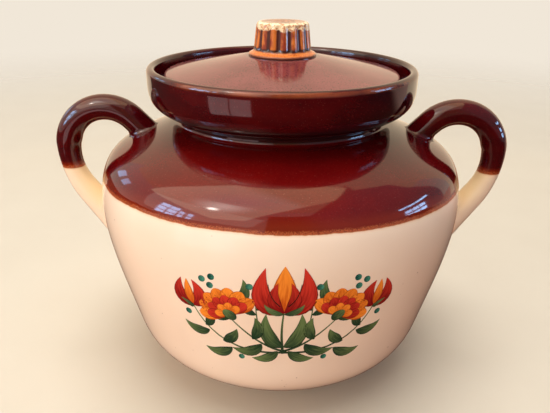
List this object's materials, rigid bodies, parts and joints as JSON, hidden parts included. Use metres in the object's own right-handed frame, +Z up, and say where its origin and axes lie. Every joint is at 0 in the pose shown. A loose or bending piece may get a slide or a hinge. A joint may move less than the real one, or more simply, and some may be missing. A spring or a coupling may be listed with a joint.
{
  "type": "lidded bean pot",
  "caption": "Round-bellied stoneware bean pot with ear handles, a deep collar with an inner ledge, and a lift-off lid with a fluted knob.",
  "frame": {"origin": "centre of the foot, on the surface that the pot stands on", "axes": "+Z up along the pot's turning axis, +X through the right handle, -Y towards the decorated front"},
  "size_m": [0.2698, 0.212, 0.2038],
  "materials": {
    "pot_glaze": "glossy cream glaze on stoneware, dipped in dark brown glaze above the belly",
    "handle_glaze": "glossy dark brown glaze over cream, cream below the dip line",
    "lid_glaze": "glossy dark brown glaze with fine specks",
    "knob_glaze": "dark brown glaze in the grooves that breaks to orange and cream on the ribs and the top edge"
  },
  "bodies": {
    "pot": {"pot_body": "pot_glaze", "handle_left": "handle_glaze", "handle_right": "handle_glaze"},
    "lid": {"lid": "lid_glaze", "lid_knob": "knob_glaze"}
  },
  "joints": [
    {"name": "lid_lift", "type": "slide", "parent": "pot", "child": "lid", "axis": [0, 0, 1], "range_m": [0, 0.08]}
  ]
}
